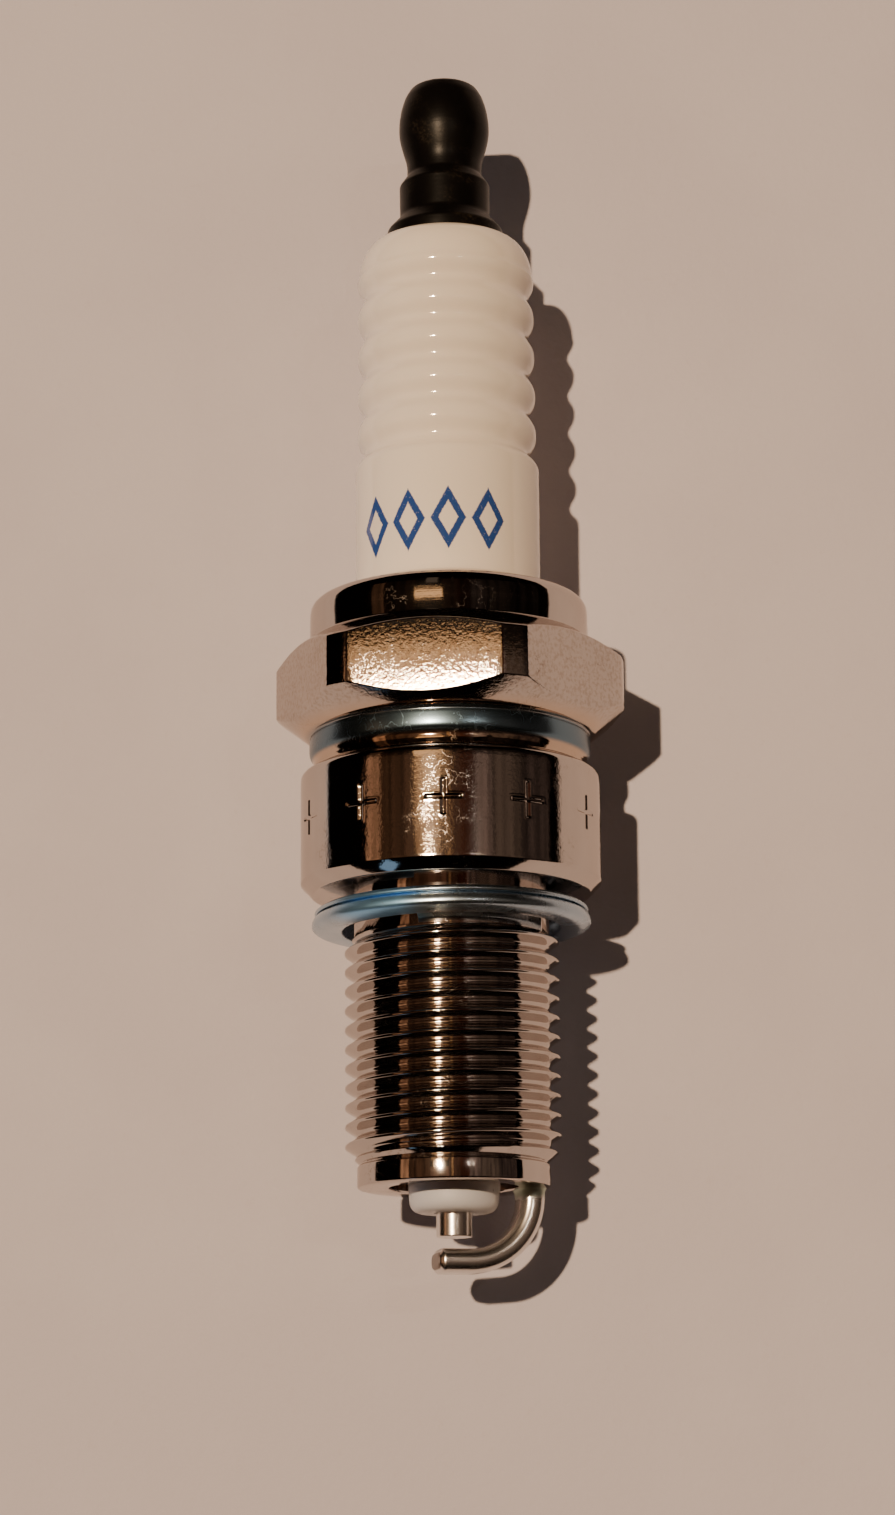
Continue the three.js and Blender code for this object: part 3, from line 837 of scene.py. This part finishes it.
def electrodeMaterial():
    s = electrode
    material, tree, shader = newMaterial("nickelAlloy")
    point = objectPoint(tree)
    clouds = groupNode(tree, smudges, Point=point, Size=600.0).outputs["Clouds"]
    grain = groupNode(tree, platingGrain, Point=point, Size=5200.0, Height=0.000006, Amount=0.35)
    tree.links.new(grain.outputs["Normal"], shader.inputs["Normal"])
    metal = mixColor(tree, clouds, s["alloy"], s["alloyDull"])
    # the weld heat reaches down the strap's foot, with a cloudy edge
    cloudy = mathNode(tree, "ADD", heightNode(tree, point), times(tree, clouds, 0.5))
    weld = mapRange(tree, cloudy, -16.9, -16.45)
    # the sheared end of the strap is duller than its sides
    lean = tree.nodes.new("ShaderNodeVectorMath")
    lean.operation = "DOT_PRODUCT"
    angle = math.radians(s["strapTurnDeg"])
    lean.inputs[1].default_value = (math.cos(angle), math.sin(angle), 0)
    # painted shade: the strap's cut end is painted much darker than its sides, standing in for a dark
    # reflection
    tree.links.new(point, lean.inputs[0])
    paintedDarkEnd = mapRange(tree, lean.outputs["Value"], -0.00112, -0.00122)
    metal = mixColor(tree, paintedDarkEnd, metal, s["paintedDarkEnd"])
    tree.links.new(mixColor(tree, times(tree, weld, 0.7), metal, s["weld"]), shader.inputs["Base Color"])
    rough = mathNode(tree, "MULTIPLY_ADD", clouds, 0.14, 0.16)
    tree.links.new(mathNode(tree, "MULTIPLY_ADD", weld, 0.25, rough), shader.inputs["Roughness"])
    shader.inputs["Metallic"].default_value = 1.0
    return material


electrodeNickel = electrodeMaterial()
centreElectrode = makeCentre(electrodeNickel)
groundStrap = makeStrap(electrodeNickel)
for piece, node in ((centreElectrode, "center_electrode"), (groundStrap, "ground_electrode")):
    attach(piece, "plug")
    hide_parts(node)
print("electrodes")


def powderMaterial(name, color, dark):
    # pressed powder or fused glass: cloudy colour and a rough, pitted surface
    material, tree, shader = newMaterial(name)
    point = objectPoint(tree)
    clouds = groupNode(tree, smudges, Point=point, Size=900.0).outputs["Clouds"]
    grain = groupNode(tree, platingGrain, Point=point, Size=7000.0, Height=0.00003, Amount=0.8)
    tree.links.new(grain.outputs["Normal"], shader.inputs["Normal"])
    tree.links.new(mixColor(tree, clouds, color, dark), shader.inputs["Base Color"])
    rough = mathNode(tree, "MULTIPLY_ADD", grain.outputs["Mask"], 0.2, 0.7)
    tree.links.new(rough, shader.inputs["Roughness"])
    return material


inside = {
    "copper_core": metalMaterial("coreCopper", (0.75, 0.40, 0.26), 0.32),
    "glass_seal": powderMaterial("sealGlass", (0.05, 0.05, 0.055), (0.02, 0.02, 0.022)),
    "talc_ring": powderMaterial("pressedTalc", (0.75, 0.72, 0.65), (0.60, 0.57, 0.50)),
    "upper_packing_ring": bareSteel, "lower_packing_ring": bareSteel, "inner_seat_washer": bareSteel,
}
for node, material in inside.items():
    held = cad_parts[node]
    if not held.material_slots:
        held.data.materials.append(material)
    held.material_slots[0].material = material
print("inner pieces")


studio = {
    "camAzimuth": 8.7, "camDistance": 0.225, "camZ": -0.04007, "camPitch": 12.965, "camRoll": -0.55,
    "lens": 83.87406, "sensor": 36.0, "shiftX": -0.00165,
    "paperHalf": 0.100, "paperBelow": 1.5, "paperAbove": 1.8, "paperY": 0.01035, "paperAt": 0.014,
    "paperSlope": 0.0196, "paperTone": (0.60, 0.545, 0.575), "paperShade": (0.575, 0.52, 0.55),
    "fibreTone": (0.5, 0.42, 0.4),
    # name, azimuth, distance, height, width, tall (0 for a round lamp), power, colour, height it
    # aims at, kind of ray it is hidden from
    "lamps": [
        ("bulb", -7.0, 1.0, 0.097, 0.022, 0, 12.0, (1.0, 0.74, 0.50), 0.02, None),
        ("farBulb", 26, 0.8, 0.10, 0.012, 0, 0.15, (1.0, 0.85, 0.7), 0.02, None),
        ("hallBulb", 30.5, 0.8, 0.10, 0.010, 0, 0.10, (1.0, 0.8, 0.6), 0.02, None),
        ("window", -76, 0.2, -0.36, 0.07, 0.05, 0.006, (0.4, 0.68, 1.0), 0, "diffuse"),
        ("leftSky", -80, 0.4, 0.05, 0.15, 0.3, 0.2, (1.0, 0.88, 0.80), 0.02, "glossy"),
        ("leftEdge", -91.5, 0.4, 0.05, 0.1, 0.3, 0.16, (0.35, 0.6, 1.0), 0.02, "glossy"),
        ("backFill", 215, 0.5, 0.30, 0.3, 0.3, 4.0, (1.0, 0.93, 0.88), 0.02, None),
    ],
    # what the metal mirrors, by azimuth: name, from, to, lowest, highest, colour
    "walls": [
        ("doorFrame", -57, -46, -0.4, 0.3, (0.46, 0.22, 0.11)),
        ("leftWall", -45, -19, -0.4, 0.3, (0.065, 0.03, 0.015)),
        ("underLamp", -19, 3, -0.4, 0.03, (0.12, 0.055, 0.03)),
        ("lampGlow", -11, -6, 0.035, 0.083, (110, 70, 34)),
        ("lampHalo", -15, -3, 0.03, 0.087, (1.6, 1.0, 0.5)),
        ("lampShade", -18, 2, 0.085, 0.134, (0.30, 0.14, 0.055)),
        ("shadeTop", -19, 4, 0.134, 0.174, (1.25, 0.68, 0.29)),
        ("lampArm", -10, 0, 0.22, 0.42, (0.09, 0.065, 0.045)),
        ("brassEdge", 6, 8, -0.2, 0.15, (0.60, 0.30, 0.12)),
        ("nearWall", 3, 16, -0.4, 0.3, (0.07, 0.032, 0.018)),
        ("redCurtain", 16, 27, -0.4, 0.3, (0.05, 0.015, 0.007)),
        ("greyDoor", 27, 40, -0.4, 0.3, (0.13, 0.083, 0.062)),
        ("rightWall", 40, 63, -0.4, 0.3, (0.08, 0.052, 0.036)),
        ("farWall", 63, 88, -0.4, 0.3, (0.05, 0.032, 0.024)),
        ("backPanel", 100, 262, -0.5, 0.6, (0.42, 0.37, 0.34)),
    ],
    "wallDistance": 0.52, "narrowBelow": 6, "narrowForward": 0.01,
    # heights and strengths between which the walls dim, and the size, stretch and depth of their folds
    "floorDim": (-0.22, -0.06, 0.3, 1.0), "ceilingDim": (0.13, 0.165, 1.0, 0.12),
    "foldSize": 26.0, "foldStretch": (1, 1, 0.12), "foldDepth": (0.3, 0.7, 0.35, 1.65),
    # the empty room as the camera sees it, as it lights a matt surface, and as metal mirrors it
    "roomSeen": (0.52, 0.44, 0.41), "roomShade": (0.006, 0.003, 0.002),
    "roomMirrored": (0.0016, 0.0009, 0.0007),
}


def paperMaterial():
    s = studio
    material, tree, shader = newMaterial("palePaper")
    point = objectPoint(tree)
    clouds = noiseNode(tree, point, 60.0, 4.0, 0.55)
    fibre = noiseNode(tree, point, 1400.0, 3.0, 0.6)
    tone = mixColor(tree, mapRange(tree, clouds, 0.35, 0.65), s["paperTone"], s["paperShade"])
    tone = mixColor(tree, mapRange(tree, fibre, 0.62, 0.72, 0.0, 0.10), tone, s["fibreTone"])
    tree.links.new(tone, shader.inputs["Base Color"])
    shader.inputs["Roughness"].default_value = 0.75
    bump = tree.nodes.new("ShaderNodeBump")
    bump.inputs["Distance"].default_value = 0.00004
    tree.links.new(fibre, bump.inputs["Height"])
    tree.links.new(bump.outputs["Normal"], shader.inputs["Normal"])
    # from behind, and for light passing through, the sheet isn't there
    clear = tree.nodes.new("ShaderNodeBsdfTransparent")
    blend = tree.nodes.new("ShaderNodeMixShader")
    back = tree.nodes.new("ShaderNodeNewGeometry").outputs["Backfacing"]
    tree.links.new(back, blend.inputs[0])
    tree.links.new(shader.outputs[0], blend.inputs[1])
    tree.links.new(clear.outputs[0], blend.inputs[2])
    tree.links.new(blend.outputs[0], tree.nodes["Material Output"].inputs["Surface"])
    return material


def makePaper():
    # an upright sheet behind the plug that leans: y = paperY + (z - paperAt) * slope
    s = studio
    h = s["paperHalf"]
    low, high = -h * s["paperBelow"], h * s["paperAbove"]
    near = s["paperY"] + (low - s["paperAt"]) * s["paperSlope"]
    far = s["paperY"] + (high - s["paperAt"]) * s["paperSlope"]
    mesh = bpy.data.meshes.new("paper")
    mesh.from_pydata([(-h, near, low), (h, near, low), (h, far, high), (-h, far, high)], [], [(0, 1, 2, 3)])
    mesh.materials.append(paperMaterial())
    paper = bpy.data.objects.new("paper", mesh)
    bpy.context.scene.collection.objects.link(paper)


def fromAzimuth(azimuth, distance, z):
    # 0 is straight in front, along -Y, and positive turns towards +X
    a = math.radians(azimuth)
    return Vector((math.sin(a) * distance, -math.cos(a) * distance, z))


def makeLamp(name, azimuth, distance, z, size, tall, energy, color, aimZ, hiddenFrom):
    data = bpy.data.lights.new(name, "AREA")
    data.shape = "RECTANGLE" if tall else "DISK"
    data.size = size
    if tall:
        data.size_y = tall
    data.energy = energy
    data.color = color
    lamp = bpy.data.objects.new(name, data)
    bpy.context.scene.collection.objects.link(lamp)
    lamp.location = fromAzimuth(azimuth, distance, z)
    lamp.rotation_euler = (Vector((0, 0, aimZ)) - lamp.location).to_track_quat("-Z", "Y").to_euler()
    lamp.visible_camera = False
    if hiddenFrom:
        setattr(lamp, "visible_" + hiddenFrom, False)


def makeCard(name, fromDeg, toDeg, lowZ, highZ, color):
    # an upright curved strip round the plug that only shows in reflections: x = d sin a and
    # y = -d cos a, with the narrow strips standing a little in front of the walls
    s = studio
    narrow = toDeg - fromDeg < s["narrowBelow"]
    distance = s["wallDistance"] - (s["narrowForward"] if narrow else 0)
    angles = np.radians(np.linspace(fromDeg, toDeg, 12))
    x, y = np.sin(angles) * distance, -np.cos(angles) * distance
    verts = [(*p, z) for z in (lowZ, highZ) for p in zip(x.tolist(), y.tolist())]
    n = len(angles)
    mesh = bpy.data.meshes.new(name)
    mesh.from_pydata(verts, [], [(i, i + 1, n + i + 1, n + i) for i in range(n - 1)])
    material, tree, shader = newMaterial(name)
    shader.inputs["Base Color"].default_value = (0, 0, 0, 1)
    shader.inputs["Specular IOR Level"].default_value = 0
    shader.inputs["Emission Color"].default_value = (*color, 1)
    # walls grow dim towards the floor and the ceiling
    point = objectPoint(tree)
    height = axesOf(tree, point)[2]
    fade = mapRange(tree, height, *s["floorDim"])
    if lowZ < 0 < highZ:
        fade = times(tree, fade, mapRange(tree, height, *s["ceilingDim"]))
        # folds and edges: noise that changes along the wall and hardly with height
        stretch = tree.nodes.new("ShaderNodeVectorMath")
        stretch.operation = "MULTIPLY"
        stretch.inputs[1].default_value = s["foldStretch"]
        tree.links.new(point, stretch.inputs[0])
        folds = noiseNode(tree, stretch.outputs[0], s["foldSize"], 3.0, 0.6)
        fade = times(tree, fade, mapRange(tree, folds, *s["foldDepth"]))
    tree.links.new(fade, shader.inputs["Emission Strength"])
    mesh.materials.append(material)
    card = bpy.data.objects.new(name, mesh)
    bpy.context.scene.collection.objects.link(card)
    for part in ("camera", "diffuse", "transmission", "volume_scatter", "shadow"):
        setattr(card, "visible_" + part, False)


def makeRoom():
    s = studio
    makePaper()
    for lamp in s["lamps"]:
        makeLamp(*lamp)
    for wall in s["walls"]:
        makeCard(*wall)
    world = bpy.data.worlds.new("room")
    bpy.context.scene.world = world
    world.use_nodes = True
    tree = world.node_tree
    background = tree.nodes["Background"]
    path = tree.nodes.new("ShaderNodeLightPath")
    dim = mixColor(tree, path.outputs["Is Diffuse Ray"], s["roomMirrored"], s["roomShade"])
    seen = mixColor(tree, path.outputs["Is Camera Ray"], dim, s["roomSeen"])
    tree.links.new(seen, background.inputs["Color"])


def makeCamera():
    s = studio
    data = bpy.data.cameras.new("camera")
    camera = bpy.data.objects.new("camera", data)
    bpy.context.scene.collection.objects.link(camera)
    data.sensor_width = s["sensor"]
    data.lens = s["lens"]
    data.shift_x = s["shiftX"]
    data.clip_start, data.clip_end = 0.002, 10
    camera.location = fromAzimuth(s["camAzimuth"], s["camDistance"], s["camZ"])
    turn = Matrix.Rotation(math.radians(s["camAzimuth"]), 3, "Z") @ Matrix.Rotation(
        math.radians(90 + s["camPitch"]), 3, "X") @ Matrix.Rotation(math.radians(s["camRoll"]), 3, "Z")
    camera.rotation_euler = turn.to_euler()
    bpy.context.scene.camera = camera


makeRoom()
makeCamera()
print("studio and camera")
